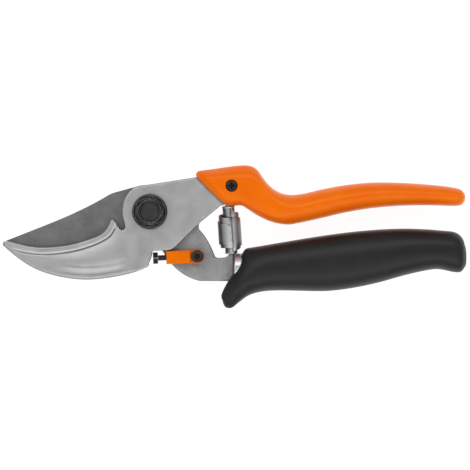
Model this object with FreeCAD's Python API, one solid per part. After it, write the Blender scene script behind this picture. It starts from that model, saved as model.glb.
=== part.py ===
import FreeCAD, Part
import math
import os

# Bypass pruning shears, lying flat and locked shut. Millimetres.
# X runs from the pivot towards the handles, Y from the lower handle towards the upper one, and Z up
# from the flat face of the pivot bolt's head. The origin is the centre of that face, so the pivot
# axis is the Z axis.

Vector = FreeCAD.Vector

# ---- driving dimensions -------------------------------------------------------------------------

FIT = 0.05                 # radial clearance of a running fit
GAP = 0.1                  # clearance between flat faces that slide past each other

HEAD_THICKNESS = 2.8       # pivot bolt's head
HEAD_RADIUS = 8.6
HEAD_FLATS = 14.0          # across the two spanner flats
HEAD_CHAMFER = 0.7
WASHER_THICKNESS = 0.6     # washer between the bolt's head and the lower arm
WASHER_RADIUS = 8.0

ARM_BOTTOM = 3.5           # lower arm's forged plate
ARM_TOP = 10.15
BLADE_BOTTOM = 6.9         # cutting blade, let into the arm
BLADE_TOP = 10.2
BLADE_TIP = (-67.5, -13.6)
FRAME_BOTTOM = 10.25       # counter-blade frame
FRAME_TOP = 15.25

BOLT_RADIUS = 4.5          # M9 pivot bolt
BOLT_END = 20.6
BOLT_END_CHAMFER = 0.4
BUSHING_RADIUS = 6.0
NUT_FLANGE_RADIUS = 8.25
NUT_FLANGE_THICKNESS = 1.6
NUT_FLANGE_CHAMFER = 0.6
NUT_TOP = 21.4
NUT_FLATS = 13.0           # across flats
NUT_CROWN_HEIGHT = 2.4     # bevelled part of the hexagon
NUT_CROWN_BEVEL = 0.4      # how far the bevel eats into the flats at the top
NUT_CORNER_ANGLE = 84.0    # degrees from +X to one corner
NUT_RECESS_RADIUS = 5.3
NUT_RECESS_DEPTH = 1.3

OPENING_ANGLE = 24.0       # degrees the arm turns to open

STOP_RADIUS = 21.0         # stop pin's distance from the pivot
STOP_ANGLE = -6.0
STOP_PIN_RADIUS = 1.5
STOP_PIN_TOP = 13.65       # blind hole in the frame
STOP_PIN_BOTTOM = 7.55
STOP_SLOT_FLOOR = 7.35
ARM_TAIL_RADIUS = 23.9     # arm's outer edge round the stop slot

RIVET_PLACES = ((12.6, -3.2), (8.4, 7.0))
RIVET_RADIUS = 1.6         # blade to arm
BEVEL_WIDTH = 6.0          # ground back from the cutting edge
EDGE_LAND = 0.35           # thickness left at the cutting edge

LEVER_PIVOT = (22.3, -20.9)
LEVER_NOSE = (7.7, -21.55)
LEVER_HALF_WIDTH = 3.05
LEVER_BOTTOM = 10.5
LEVER_TOP = 15.1
LEVER_EYE_TOP = 13.6
LEVER_EYE_RADIUS = 3.2
LEVER_EDGE = 0.7                # rounding of its upper edges
LEVER_SCREW_RADIUS = 2.0
LEVER_SCREW_HEAD_RADIUS = 3.0
LEVER_SCREW_HEAD_THICKNESS = 1.7
LEVER_SCREW_END = 5.0
LEVER_SCREW_SOCKET = 2.5        # across flats
LEVER_SCREW_SOCKET_DEPTH = 1.2

ADJUSTING_SCREW_RADIUS = 1.25
ADJUSTING_HEAD_FLATS = 5.4      # hexagon head, one corner up
ADJUSTING_HEAD_THICKNESS = 2.3
ADJUSTING_SCREW_REACH = 6.2     # from the lever's nose to the far face of the head
ADJUSTING_SCREW_DEPTH = 7.0     # inside the lever

SPRING_TOP = Vector(36.8, 1.9, 11.6)      # centres of the volute spring's two ends
SPRING_BOTTOM = Vector(38.2, -18.7, 8.6)
SPRING_STRIP = 0.55
SPRING_INNER_RADIUS = 1.9
SPRING_OUTER_RADIUS = 5.7
SPRING_TURNS = 3.25
SPRING_RIM_SHARE = 0.52         # outer turn's height as a share of the inner turn's
STUD_RADIUS = 1.3
STUD_FLANGE_RADIUS = 3.0
STUD_FLANGE_THICKNESS = 0.7
STUD_REACH = 5.0                # into the spring
STUD_ROOT = 3.4                 # into the metal behind the flange

GRIP_SCREW = (38.3, 12.1)
GRIP_SCREW_RADIUS = 1.75
GRIP_SCREW_HEAD_RADIUS = 2.75
GRIP_SCREW_HEAD_TOP = 19.0
GRIP_SCREW_HEAD_THICKNESS = 2.2
CROSS_LENGTH = 3.2              # cross recess in its head
CROSS_WIDTH = 0.8
CROSS_DEPTH = 1.3
COUNTERBORE_PLAY = 0.15
GRIP_SCREW_END = 4.2
GRIP_NUT_FLATS = 5.6
GRIP_NUT_THICKNESS = 2.6
CORE_SKIN = 2.6                 # soft cover over the lower grip's core
HEAD_ROUNDING = 0.45            # on the small screws' heads

UPPER_GRIP_MIDDLE = 11.6        # height of each grip's middle
LOWER_GRIP_MIDDLE = 11.1

NECK_RADIUS = 6.4               # round neck that carries the lower grip
NECK_START = Vector(39.3, -26.05, 9.9)
NECK_LENGTH = 18.7
NECK_CHAMFER = 0.6
TANG_BOTTOM = 7.6               # bar inside the lower grip
TANG_TOP = 13.6

# Upper grip, front to back: x, top, bottom, half thickness. Its front is then cut on a slant.
UPPER_GRIP_STATIONS = (
    (19.0, 18.0, 2.9, 6.2),
    (27.5, 19.6, 2.8, 7.0),
    (33.0, 20.4, 2.7, 7.6),
    (38.0, 21.0, 2.7, 8.0),
    (43.0, 21.5, 2.6, 8.2),
    (47.2, 21.2, 0.1, 8.3),
    (50.0, 19.7, -1.6, 8.3),
    (52.8, 16.3, -3.0, 8.3),
    (55.6, 12.8, -4.3, 8.3),
    (58.8, 10.2, -5.1, 8.2),
    (64.0, 8.1, -5.8, 8.1),
    (69.6, 8.1, -5.3, 8.1),
    (78.0, 9.9, -3.5, 8.1),
    (89.3, 12.1, -0.8, 8.1),
    (103.3, 13.7, 1.5, 8.0),
    (120.0, 13.5, 2.9, 7.7),
    (134.0, 12.4, 2.9, 7.2),
    (142.6, 11.1, 2.7, 6.6),
    (146.2, 9.6, 3.6, 5.0),
    (147.5, 8.0, 5.4, 2.4),
)
UPPER_GRIP_FRONT = ((22.8, 19.4), (21.4, 17.5), (22.0, 16.0), (36.2, 3.0))

# Lower grip, front to back, with its finger guard first. Its front is then cut to a curve.
LOWER_GRIP_STATIONS = (
    (32.2, -20.5, -39.4, 4.4),
    (34.6, -20.2, -42.4, 6.4),
    (37.6, -19.8, -45.1, 7.8),
    (40.6, -19.2, -43.8, 8.8),
    (44.2, -17.9, -40.5, 9.6),
    (48.0, -16.6, -38.5, 10.2),
    (52.8, -15.8, -37.4, 10.5),
    (62.0, -14.3, -36.9, 10.7),
    (75.0, -12.1, -37.4, 10.7),
    (89.3, -10.2, -36.9, 10.7),
    (103.0, -8.6, -34.3, 10.6),
    (117.0, -7.9, -30.5, 10.2),
    (130.0, -8.4, -27.5, 9.7),
    (139.0, -9.2, -27.7, 9.2),
    (144.5, -10.9, -28.3, 8.2),
    (147.1, -14.6, -27.0, 5.8),
    (148.3, -18.4, -24.4, 2.6),
)
LOWER_GRIP_FRONT = ((45.6, -17.2), (44.0, -18.8), (43.3, -23.5), (41.2, -27.7), (37.3, -32.5), (35.1, -35.2),
                    (33.9, -38.3), (34.5, -42.2))
CORE_STATIONS = LOWER_GRIP_STATIONS[5:-1]


# ---- helpers ------------------------------------------------------------------------------------

def at(x, y, z=0.0):
    return Vector(x, y, z)


def line(*point):
    """A straight stretch of outline to the point."""
    return lambda start: Part.LineSegment(start, at(*point))


def arc(via, end):
    """A round stretch of outline through one point to another."""
    return lambda start: Part.Arc(start, at(*via), at(*end))


def curve(*points):
    """A smooth stretch of outline through the points."""
    def make(start):
        spline = Part.BSplineCurve()
        spline.interpolate([start] + [at(*point) for point in points])
        return spline
    return make


def outline(start, *stretches):
    """The closed face inside a run of stretches, at z = 0."""
    point = at(*start)
    edges = []
    for stretch in stretches:
        edge = stretch(point).toShape()
        point = edge.lastVertex(True).Point
        edges.append(edge)
    return Part.Face(Part.Wire(edges))


def slab(face, bottom, top):
    """The solid over a flat outline between two heights."""
    raised = face.copy()
    raised.translate(at(0, 0, bottom))
    return raised.extrude(at(0, 0, top - bottom))


def rod(radius, bottom, top, x=0.0, y=0.0):
    return Part.makeCylinder(radius, top - bottom, at(x, y, bottom))


def rod_between(radius, start, end):
    return Part.makeCylinder(radius, (end - start).Length, start, end - start)


def prism(flats, bottom, top, x=0.0, y=0.0, corner_angle=0.0):
    """A hexagonal prism, by its size across flats."""
    corner_radius = flats / math.sqrt(3)
    corners = []
    for number in range(7):
        angle = math.radians(corner_angle + 60 * number)
        corners.append(at(x + corner_radius * math.cos(angle), y + corner_radius * math.sin(angle)))
    return slab(Part.Face(Part.makePolygon(corners)), bottom, top)


def polar(radius, degrees):
    return (radius * math.cos(math.radians(degrees)), radius * math.sin(math.radians(degrees)))


def grip_section(x, top, bottom, half_thickness, middle):
    """A rounded-box section of a grip, across X."""
    squareness = 2.0 / 2.5
    points = []
    steps = 16
    for number in range(steps):
        angle = 2 * math.pi * (number + 0.5) / steps
        across = math.copysign(abs(math.cos(angle)) ** squareness, math.cos(angle))
        up = math.copysign(abs(math.sin(angle)) ** squareness, math.sin(angle))
        points.append(at(x, (top + bottom) / 2 + (top - bottom) / 2 * across, middle + half_thickness * up))
    spline = Part.BSplineCurve()
    spline.interpolate(points, PeriodicFlag=True)
    return Part.Wire(spline.toShape())


def front_cutter(above, front, below):
    """Everything in front of a grip's front edge, from a point above the grip to one below it."""
    far_front = 5.0
    face = outline(
        above,
        *front,
        line(*below),
        line(far_front, below[1]),
        line(far_front, above[1]),
        line(*above),
    )
    return slab(face, -5, 30)


def edges_at(shape, height):
    """The edges that lie flat at a height."""
    found = []
    for edge in shape.Edges:
        if abs(edge.BoundBox.ZMin - height) < 0.01 and abs(edge.BoundBox.ZMax - height) < 0.01:
            found.append(edge)
    return found


def grip_body(stations, middle, inset=0.0):
    """A grip lofted through its stations, all round smaller by the inset."""
    sections = []
    for x, top, bottom, half in stations:
        sections.append(grip_section(x, top - inset, bottom + inset, half - inset, middle))
    return Part.makeLoft(sections, True)


# ---- the counter-blade frame and what is fixed to it ---------------------------------------------

def frame_outline():
    """Hook, pivot boss and tang, seen from above, round from the hook's tip."""
    return outline(
        (-67.8, -13.8),
        curve((-64.3, -14.4), (-58.4, -15.9), (-50.6, -16.8), (-42.9, -16.4), (-35.1, -15.1), (-27.4, -12.7),
              (-21.4, -9.6), (-19.1, -6.3), (-18.3, -4.4)),
        arc((-17.8, -3.7), (-17.0, -3.9)),
        line(-15.6, -5.2),
        line(-14.3, -7.5),
        arc((-13.1, -8.5), (-11.7, -7.1)),
        line(-12.1, -5.0),
        arc((-12.95, 1.0), (-6.9, 11.7)),
        line(22.0, 16.2),
        line(34.0, 17.2),
        curve((46.0, 15.2), (52.0, 9.6), (58.5, 5.4), (66.0, 4.7), (85.0, 8.4), (104.0, 11.0)),
        arc((107.2, 8.3), (104.4, 5.2)),
        curve((85.0, 2.2), (66.0, -2.4), (56.0, -1.4), (48.0, 2.6), (41.0, 4.2)),
        line(34.6, 3.2),
        arc((33.2, 2.8), (32.0, 1.9)),
        line(23.4, -5.2),
        line(13.0, -15.6),
        curve((10.6, -17.5), (6.0, -18.2)),
        line(2.0, -18.3),
        arc((1.4, -18.5), (1.2, -19.0)),
        curve((0.75, -21.2), (-0.4, -24.1)),
        arc((-0.7, -25.5), (-1.9, -26.3)),
        curve((-6.2, -28.1), (-14.6, -30.2), (-28.6, -31.9), (-42.7, -30.4), (-53.9, -26.7), (-62.3, -21.4),
              (-67.8, -16.7)),
        arc((-68.9, -15.0), (-67.8, -13.8)),
    )


def stop_pin_place(degrees):
    return polar(STOP_RADIUS, STOP_ANGLE + degrees)


def make_counter_blade_frame():
    plate = slab(frame_outline(), FRAME_BOTTOM, FRAME_TOP)
    bolt_hole = rod(BOLT_RADIUS, FRAME_BOTTOM, FRAME_TOP)
    pin_hole = rod(STOP_PIN_RADIUS, FRAME_BOTTOM, STOP_PIN_TOP, *stop_pin_place(0))
    screw_hole = rod(GRIP_SCREW_RADIUS, FRAME_BOTTOM, FRAME_TOP, *GRIP_SCREW)
    frame = plate.cut(bolt_hole).cut(pin_hole).cut(screw_hole)
    return frame.cut(make_upper_spring_stud())


def make_stop_pin():
    return rod(STOP_PIN_RADIUS, STOP_PIN_BOTTOM, STOP_PIN_TOP, *stop_pin_place(0))


def make_pivot_bolt():
    head = rod(HEAD_RADIUS, 0, HEAD_THICKNESS)
    head = head.makeChamfer(HEAD_CHAMFER, edges_at(head, 0))
    between_flats = Part.makeBox(2 * HEAD_RADIUS, HEAD_FLATS, HEAD_THICKNESS, at(-HEAD_RADIUS, -HEAD_FLATS / 2))
    shank = rod(BOLT_RADIUS, 0, BOLT_END)
    shank = shank.makeChamfer(BOLT_END_CHAMFER, edges_at(shank, BOLT_END))
    return head.common(between_flats).fuse(shank).removeSplitter()


def make_pivot_nut():
    flange_top = FRAME_TOP + NUT_FLANGE_THICKNESS
    flange = rod(NUT_FLANGE_RADIUS, FRAME_TOP, flange_top)
    flange = flange.makeChamfer(NUT_FLANGE_CHAMFER, edges_at(flange, flange_top))
    hexagon = prism(NUT_FLATS, FRAME_TOP, NUT_TOP, corner_angle=NUT_CORNER_ANGLE)
    crown_base = NUT_TOP - NUT_CROWN_HEIGHT
    crown_top_radius = NUT_FLATS / 2 - NUT_CROWN_BEVEL
    crown = Part.makeCone(crown_top_radius + 3.4, crown_top_radius, NUT_CROWN_HEIGHT, at(0, 0, crown_base))
    hexagon = hexagon.common(crown.fuse(rod(NUT_FLATS, FRAME_TOP, crown_base)))
    recess = rod(NUT_RECESS_RADIUS, NUT_TOP - NUT_RECESS_DEPTH, NUT_TOP)
    bore = rod(BOLT_RADIUS, FRAME_TOP, NUT_TOP)
    return flange.fuse(hexagon).cut(recess).cut(bore).removeSplitter()


def make_pivot_bushing():
    return rod(BUSHING_RADIUS, ARM_BOTTOM, FRAME_BOTTOM).cut(rod(BOLT_RADIUS, ARM_BOTTOM, FRAME_BOTTOM))


def make_pivot_washer():
    top = HEAD_THICKNESS + WASHER_THICKNESS
    return rod(WASHER_RADIUS, HEAD_THICKNESS, top).cut(rod(BOLT_RADIUS, HEAD_THICKNESS, top))


def make_upper_grip():
    corner_top, corner_front, corner_bottom, lobe = UPPER_GRIP_FRONT
    front = (line(*corner_top), arc(corner_front, corner_bottom), line(*lobe))
    head_bottom = GRIP_SCREW_HEAD_TOP - GRIP_SCREW_HEAD_THICKNESS
    nut_top = GRIP_SCREW_END + GRIP_NUT_THICKNESS
    grip = grip_body(UPPER_GRIP_STATIONS, UPPER_GRIP_MIDDLE)
    grip = grip.cut(front_cutter((26.8, 30.0), front, (37.2, -10.0)))
    grip = grip.cut(slab(frame_outline(), FRAME_BOTTOM, FRAME_TOP))
    grip = grip.cut(rod(GRIP_SCREW_RADIUS, 0, GRIP_SCREW_HEAD_TOP, *GRIP_SCREW))
    grip = grip.cut(rod(GRIP_SCREW_HEAD_RADIUS + COUNTERBORE_PLAY, head_bottom, NUT_TOP, *GRIP_SCREW))
    grip = grip.cut(prism(GRIP_NUT_FLATS, 0, nut_top, *GRIP_SCREW))
    return grip.cut(make_upper_spring_stud())


def make_upper_grip_screw():
    head_bottom = GRIP_SCREW_HEAD_TOP - GRIP_SCREW_HEAD_THICKNESS
    shank = rod(GRIP_SCREW_RADIUS, GRIP_SCREW_END, head_bottom + 1, *GRIP_SCREW)
    head = rod(GRIP_SCREW_HEAD_RADIUS, head_bottom, GRIP_SCREW_HEAD_TOP, *GRIP_SCREW)
    head = head.makeFillet(HEAD_ROUNDING, edges_at(head, GRIP_SCREW_HEAD_TOP))
    screw = shank.fuse(head)
    recess_floor = GRIP_SCREW_HEAD_TOP - CROSS_DEPTH
    for length, width in ((CROSS_LENGTH, CROSS_WIDTH), (CROSS_WIDTH, CROSS_LENGTH)):
        corner = at(GRIP_SCREW[0] - length / 2, GRIP_SCREW[1] - width / 2, recess_floor)
        screw = screw.cut(Part.makeBox(length, width, 2 * CROSS_DEPTH, corner))
    return screw.removeSplitter()


def make_upper_grip_nut():
    top = GRIP_SCREW_END + GRIP_NUT_THICKNESS
    return prism(GRIP_NUT_FLATS, GRIP_SCREW_END, top, *GRIP_SCREW).cut(
        rod(GRIP_SCREW_RADIUS, GRIP_SCREW_END, top, *GRIP_SCREW))


# ---- the volute spring and its studs --------------------------------------------------------------

def spring_stud(end, other_end):
    """A flanged pin that stands into the spring from one end."""
    inward = (other_end - end).normalize()
    flange_base = end - inward * STUD_FLANGE_THICKNESS
    pin = rod_between(STUD_RADIUS, flange_base - inward * STUD_ROOT, end + inward * STUD_REACH)
    return pin.fuse(rod_between(STUD_FLANGE_RADIUS, flange_base, end)).removeSplitter()


def make_upper_spring_stud():
    return spring_stud(SPRING_TOP, SPRING_BOTTOM)


def make_lower_spring_stud():
    return spring_stud(SPRING_BOTTOM, SPRING_TOP)


def spiral(inset):
    """One face of the wound strip, from the inner turn out."""
    steps = 12
    count = int(SPRING_TURNS * steps)
    points = []
    for number in range(count + 1):
        share = number / count
        radius = SPRING_INNER_RADIUS + (SPRING_OUTER_RADIUS - SPRING_INNER_RADIUS - SPRING_STRIP) * share
        x, y = polar(radius + inset, 360 * SPRING_TURNS * share)
        points.append(at(x, y))
    spline = Part.BSplineCurve()
    spline.interpolate(points)
    return spline, points[0], points[-1]


def make_volute_spring():
    height = (SPRING_TOP - SPRING_BOTTOM).Length
    inner, inner_start, inner_end = spiral(0)
    outer, outer_start, outer_end = spiral(SPRING_STRIP)
    edges = [
        inner.toShape(),
        Part.LineSegment(inner_end, outer_end).toShape(),
        outer.toShape(),
        Part.LineSegment(outer_start, inner_start).toShape(),
    ]
    wall = Part.Face(Part.Wire(Part.__sortEdges__(edges))).extrude(at(0, 0, height))
    rim_drop = height * (1 - SPRING_RIM_SHARE) / 2
    taper_start = SPRING_INNER_RADIUS + SPRING_STRIP
    profile = Part.makePolygon([
        at(0, 0, 0),
        at(taper_start, 0, 0),
        at(SPRING_OUTER_RADIUS + 0.1, 0, rim_drop),
        at(SPRING_OUTER_RADIUS + 0.1, 0, height - rim_drop),
        at(taper_start, 0, height),
        at(0, 0, height),
        at(0, 0, 0),
    ])
    envelope = Part.Face(profile).revolve(at(0, 0, 0), at(0, 0, 1), 360)
    spring = wall.common(envelope)
    spring.Placement = FreeCAD.Placement(
        SPRING_BOTTOM, FreeCAD.Rotation(at(0, 0, 1), SPRING_TOP - SPRING_BOTTOM))
    return spring


# ---- the lower arm and what is fixed to it ---------------------------------------------------------

def arm_outline():
    """The forged plate, seen from above, round from its lowest corner by the lock lever."""
    return outline(
        (10.2, -24.8),
        curve((18.9, -31.1), (23.5, -32.6)),
        line(44.0, -32.6),
        line(44.0, -19.6),
        line(37.2, -19.6),
        arc((36.3, -20.9), (34.6, -21.6)),
        line(32.2, -21.7),
        arc((31.0, -21.4), (30.2, -20.2)),
        curve((28.7, -16.7), (27.2, -13.8), (25.2, -10.8), (22.9, -8.1)),
        line(22.9, -6.0),
        line(*polar(ARM_TAIL_RADIUS, -12)),
        arc(polar(ARM_TAIL_RADIUS, 5), polar(ARM_TAIL_RADIUS, 22)),
        line(*polar(18.0, 27)),
        curve(polar(14.6, 40), polar(12.6, 60)),
        arc(polar(12.6, 150), polar(12.6, 230)),
        curve((-3.6, -13.8), (1.6, -15.6), (5.6, -18.2), (7.4, -21.2), (10.2, -24.8)),
    )


def blade_outline():
    """The cutting blade, round from its tip along the spine and back along the cutting edge."""
    return outline(
        BLADE_TIP,
        curve((-54.0, -8.3), (-40.0, -2.6), (-21.0, 6.9)),
        arc((-18.3, 8.4), (-15.6, 9.3)),
        line(-6.9, 11.7),
        arc((0.0, 12.5), (6.2, 10.8)),
        curve((12.0, 5.5), (16.2, -2.0)),
        arc((16.8, -5.5), (13.6, -7.2)),
        curve((6.0, -9.6), (-4.0, -12.2), (-12.0, -13.2)),
        *cutting_edge_stretches(),
    )


def cutting_edge(inset):
    """Points along the cutting edge from heel to tip, moved into the blade by the inset."""
    middle = at(-38.0, 8.0)
    heel_to_tip = ((-16.0, -14.6), (-24.0, -18.9), (-34.0, -22.0), (-46.0, -22.6), (-57.0, -19.6), BLADE_TIP)
    points = []
    for x, y in heel_to_tip:
        point = at(x, y)
        points.append(point + (middle - point).normalize() * inset)
    return points


def cutting_edge_stretches():
    heel, *others = cutting_edge(0)
    return (line(heel.x, heel.y), curve(*[(point.x, point.y) for point in others]))


def bevel_cutter():
    """The wedge that the grinding takes off the blade's back face along its cutting edge."""
    outside = 6.0
    wires = []
    for inset, z in ((BEVEL_WIDTH, BLADE_BOTTOM), (0.0, BLADE_TOP - EDGE_LAND)):
        near = Part.BSplineCurve()
        near.interpolate([point + at(0, 0, z) for point in cutting_edge(inset)])
        far = Part.BSplineCurve()
        far.interpolate([point + at(0, 0, z) for point in cutting_edge(-outside)])
        edges = [
            near.toShape(),
            Part.LineSegment(near.EndPoint, far.EndPoint).toShape(),
            far.toShape(),
            Part.LineSegment(far.StartPoint, near.StartPoint).toShape(),
        ]
        wires.append(Part.Wire(Part.__sortEdges__(edges)))
    wedge = Part.makeLoft(wires, True, True)
    return wedge.fuse(Part.Face(wires[0]).extrude(at(0, 0, -1)))


def make_cutting_blade():
    blade = slab(blade_outline(), BLADE_BOTTOM, BLADE_TOP)
    blade = blade.cut(rod(BUSHING_RADIUS + FIT, BLADE_BOTTOM, BLADE_TOP))
    for place in RIVET_PLACES:
        blade = blade.cut(rod(RIVET_RADIUS, BLADE_BOTTOM, BLADE_TOP, *place))
    return blade.cut(bevel_cutter())


def make_blade_rivets():
    rivets = [rod(RIVET_RADIUS, ARM_BOTTOM, BLADE_TOP, *place) for place in RIVET_PLACES]
    return Part.makeCompound(rivets)


def stop_slot():
    """The curved slot in the arm that the frame's stop pin runs in."""
    slot_radius = STOP_PIN_RADIUS + GAP
    start = stop_pin_place(0)
    end = stop_pin_place(OPENING_ANGLE)
    inner = STOP_RADIUS - slot_radius
    outer = STOP_RADIUS + slot_radius
    first = STOP_ANGLE
    last = STOP_ANGLE + OPENING_ANGLE
    middle = (first + last) / 2
    face = outline(
        polar(inner, first),
        arc(polar(inner, middle), polar(inner, last)),
        line(*polar(outer, last)),
        arc(polar(outer, middle), polar(outer, first)),
        line(*polar(inner, first)),
    )
    slot = slab(face, STOP_SLOT_FLOOR, ARM_TOP)
    for place in (start, end):
        slot = slot.fuse(rod(slot_radius, STOP_SLOT_FLOOR, ARM_TOP, *place))
    return slot


def arm_tang():
    """The bar inside the lower grip, and the round neck in front of it."""
    neck = rod_between(NECK_RADIUS, NECK_START, NECK_START + at(NECK_LENGTH, 0))
    front_rim = [edge for edge in neck.Edges if edge.BoundBox.XMax < NECK_START.x + 0.01]
    neck = neck.makeChamfer(NECK_CHAMFER, front_rim)
    bar = outline((50.0, -31.0), line(50.0, -21.0), line(112.0, -16.5), line(112.0, -23.5), line(50.0, -31.0))
    return neck.fuse(slab(bar, TANG_BOTTOM, TANG_TOP))


def make_lower_arm():
    arm = slab(arm_outline(), ARM_BOTTOM, ARM_TOP).fuse(arm_tang())
    arm = arm.cut(slab(blade_outline(), BLADE_BOTTOM, ARM_TOP))
    arm = arm.cut(rod(BUSHING_RADIUS + FIT, ARM_BOTTOM, ARM_TOP))
    arm = arm.cut(stop_slot())
    for place in RIVET_PLACES:
        arm = arm.cut(rod(RIVET_RADIUS, ARM_BOTTOM, ARM_TOP, *place))
    arm = arm.cut(rod(LEVER_SCREW_RADIUS, LEVER_SCREW_END, ARM_TOP, *LEVER_PIVOT))
    return arm.cut(make_lower_spring_stud()).removeSplitter()


def make_lower_grip_core():
    core = grip_body(CORE_STATIONS, LOWER_GRIP_MIDDLE, CORE_SKIN)
    return core.cut(arm_tang()).cut(slab(arm_outline(), ARM_BOTTOM, ARM_TOP))


def make_lower_grip():
    front = (line(*LOWER_GRIP_FRONT[0]), curve(*LOWER_GRIP_FRONT[1:]))
    grip = grip_body(LOWER_GRIP_STATIONS, LOWER_GRIP_MIDDLE)
    grip = grip.cut(front_cutter((46.6, -5.0), front, (32.5, -60.0)))
    grip = grip.cut(grip_body(CORE_STATIONS, LOWER_GRIP_MIDDLE, CORE_SKIN))
    return grip.cut(arm_tang()).cut(slab(arm_outline(), ARM_BOTTOM, ARM_TOP))


# ---- the lock lever --------------------------------------------------------------------------------

def lever_direction():
    """Unit vector from the lever's eye to its nose."""
    return (at(*LEVER_NOSE) - at(*LEVER_PIVOT)).normalize()


def strip_between(start, end, half_width):
    """The flat rectangle along a line, with its half width as a vector across it."""
    corners = [start + half_width, end + half_width, end - half_width, start - half_width, start + half_width]
    return Part.Face(Part.makePolygon(corners))


def make_lock_lever():
    along = lever_direction()
    side = at(-along.y, along.x)
    eye = at(*LEVER_PIVOT)
    nose = at(*LEVER_NOSE)
    shoulder = eye + along * (LEVER_EYE_RADIUS + 0.2)
    bar = slab(strip_between(eye, nose, side * LEVER_HALF_WIDTH), LEVER_BOTTOM, LEVER_TOP)
    bar = bar.makeFillet(LEVER_EDGE, edges_at(bar, LEVER_TOP))
    above_eye = slab(strip_between(shoulder, eye - along * 9, side * 9), LEVER_EYE_TOP, LEVER_TOP)
    lever = bar.cut(above_eye).fuse(rod(LEVER_EYE_RADIUS, LEVER_BOTTOM, LEVER_EYE_TOP, *LEVER_PIVOT))
    lever = lever.cut(rod(LEVER_SCREW_RADIUS + FIT, LEVER_BOTTOM, LEVER_TOP, *LEVER_PIVOT))
    return lever.cut(make_lever_adjusting_screw()).removeSplitter()


def make_lever_adjusting_screw():
    along = lever_direction()
    height = (LEVER_BOTTOM + LEVER_TOP) / 2
    nose = at(*LEVER_NOSE, height)
    head_near = nose + along * (ADJUSTING_SCREW_REACH - ADJUSTING_HEAD_THICKNESS)
    head_far = nose + along * ADJUSTING_SCREW_REACH
    shank = rod_between(ADJUSTING_SCREW_RADIUS, nose - along * ADJUSTING_SCREW_DEPTH, head_far)
    head = prism(ADJUSTING_HEAD_FLATS, 0, ADJUSTING_HEAD_THICKNESS)
    head = head.common(Part.makeSphere(1.25 * ADJUSTING_HEAD_FLATS / 2, at(0, 0, ADJUSTING_HEAD_THICKNESS / 2)))
    corner_up = FreeCAD.Rotation(at(0, 0, 1), at(0, 1), along, "ZXY")
    head.Placement = FreeCAD.Placement(head_near, corner_up)
    return shank.fuse(head).removeSplitter()


def make_lever_washer():
    return rod(LEVER_EYE_RADIUS, ARM_TOP, LEVER_BOTTOM - GAP, *LEVER_PIVOT).cut(
        rod(LEVER_SCREW_RADIUS, ARM_TOP, LEVER_BOTTOM, *LEVER_PIVOT))


def make_lever_pivot_screw():
    head_bottom = LEVER_EYE_TOP + GAP
    head_top = head_bottom + LEVER_SCREW_HEAD_THICKNESS
    shank = rod(LEVER_SCREW_RADIUS, LEVER_SCREW_END, head_bottom, *LEVER_PIVOT)
    head = rod(LEVER_SCREW_HEAD_RADIUS, head_bottom, head_top, *LEVER_PIVOT)
    head = head.makeFillet(HEAD_ROUNDING, edges_at(head, head_top))
    socket = prism(LEVER_SCREW_SOCKET, head_top - LEVER_SCREW_SOCKET_DEPTH, head_top, *LEVER_PIVOT)
    return shank.fuse(head).cut(socket).removeSplitter()


# ---- export ----------------------------------------------------------------------------------------

PARTS = {
    "counter_blade_frame": make_counter_blade_frame,
    "stop_pin": make_stop_pin,
    "pivot_bolt": make_pivot_bolt,
    "pivot_nut": make_pivot_nut,
    "pivot_bushing": make_pivot_bushing,
    "pivot_washer": make_pivot_washer,
    "upper_grip": make_upper_grip,
    "upper_grip_screw": make_upper_grip_screw,
    "upper_grip_nut": make_upper_grip_nut,
    "upper_spring_stud": make_upper_spring_stud,
    "volute_spring": make_volute_spring,
    "lower_spring_stud": make_lower_spring_stud,
    "lower_arm": make_lower_arm,
    "cutting_blade": make_cutting_blade,
    "blade_rivets": make_blade_rivets,
    "lower_grip": make_lower_grip,
    "lower_grip_core": make_lower_grip_core,
    "lever_washer": make_lever_washer,
    "lever_pivot_screw": make_lever_pivot_screw,
    "lock_lever": make_lock_lever,
    "lever_adjusting_screw": make_lever_adjusting_screw,
}


def main():
    os.makedirs("parts", exist_ok=True)
    for name, make in PARTS.items():
        shape = make()
        if not shape.isValid():
            raise ValueError(name + " is not a valid solid")
        print(name, len(shape.Solids), round(shape.Volume, 1))
        shape.exportStep("parts/" + name + ".step")


main()
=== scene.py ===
import math

import bmesh
import bpy
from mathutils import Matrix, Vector
from mathutils.kdtree import KDTree


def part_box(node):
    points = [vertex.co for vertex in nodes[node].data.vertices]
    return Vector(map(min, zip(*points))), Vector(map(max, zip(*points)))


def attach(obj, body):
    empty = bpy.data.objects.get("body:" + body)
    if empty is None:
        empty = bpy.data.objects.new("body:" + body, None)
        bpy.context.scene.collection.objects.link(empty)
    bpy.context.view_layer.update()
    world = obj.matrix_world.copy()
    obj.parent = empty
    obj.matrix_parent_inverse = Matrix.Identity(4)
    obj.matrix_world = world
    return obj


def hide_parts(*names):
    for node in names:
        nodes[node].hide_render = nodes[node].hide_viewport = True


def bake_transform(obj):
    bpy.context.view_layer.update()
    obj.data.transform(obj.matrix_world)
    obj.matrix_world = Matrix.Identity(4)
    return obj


MM = 0.001

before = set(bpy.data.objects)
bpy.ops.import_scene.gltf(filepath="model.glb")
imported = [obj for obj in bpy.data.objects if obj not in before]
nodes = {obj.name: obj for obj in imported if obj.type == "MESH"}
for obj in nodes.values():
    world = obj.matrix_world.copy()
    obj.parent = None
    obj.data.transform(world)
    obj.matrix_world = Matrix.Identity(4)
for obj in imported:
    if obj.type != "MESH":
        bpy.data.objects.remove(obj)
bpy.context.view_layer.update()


# ---- heights and places read from the frame ---------------------------------------------------------

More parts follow.
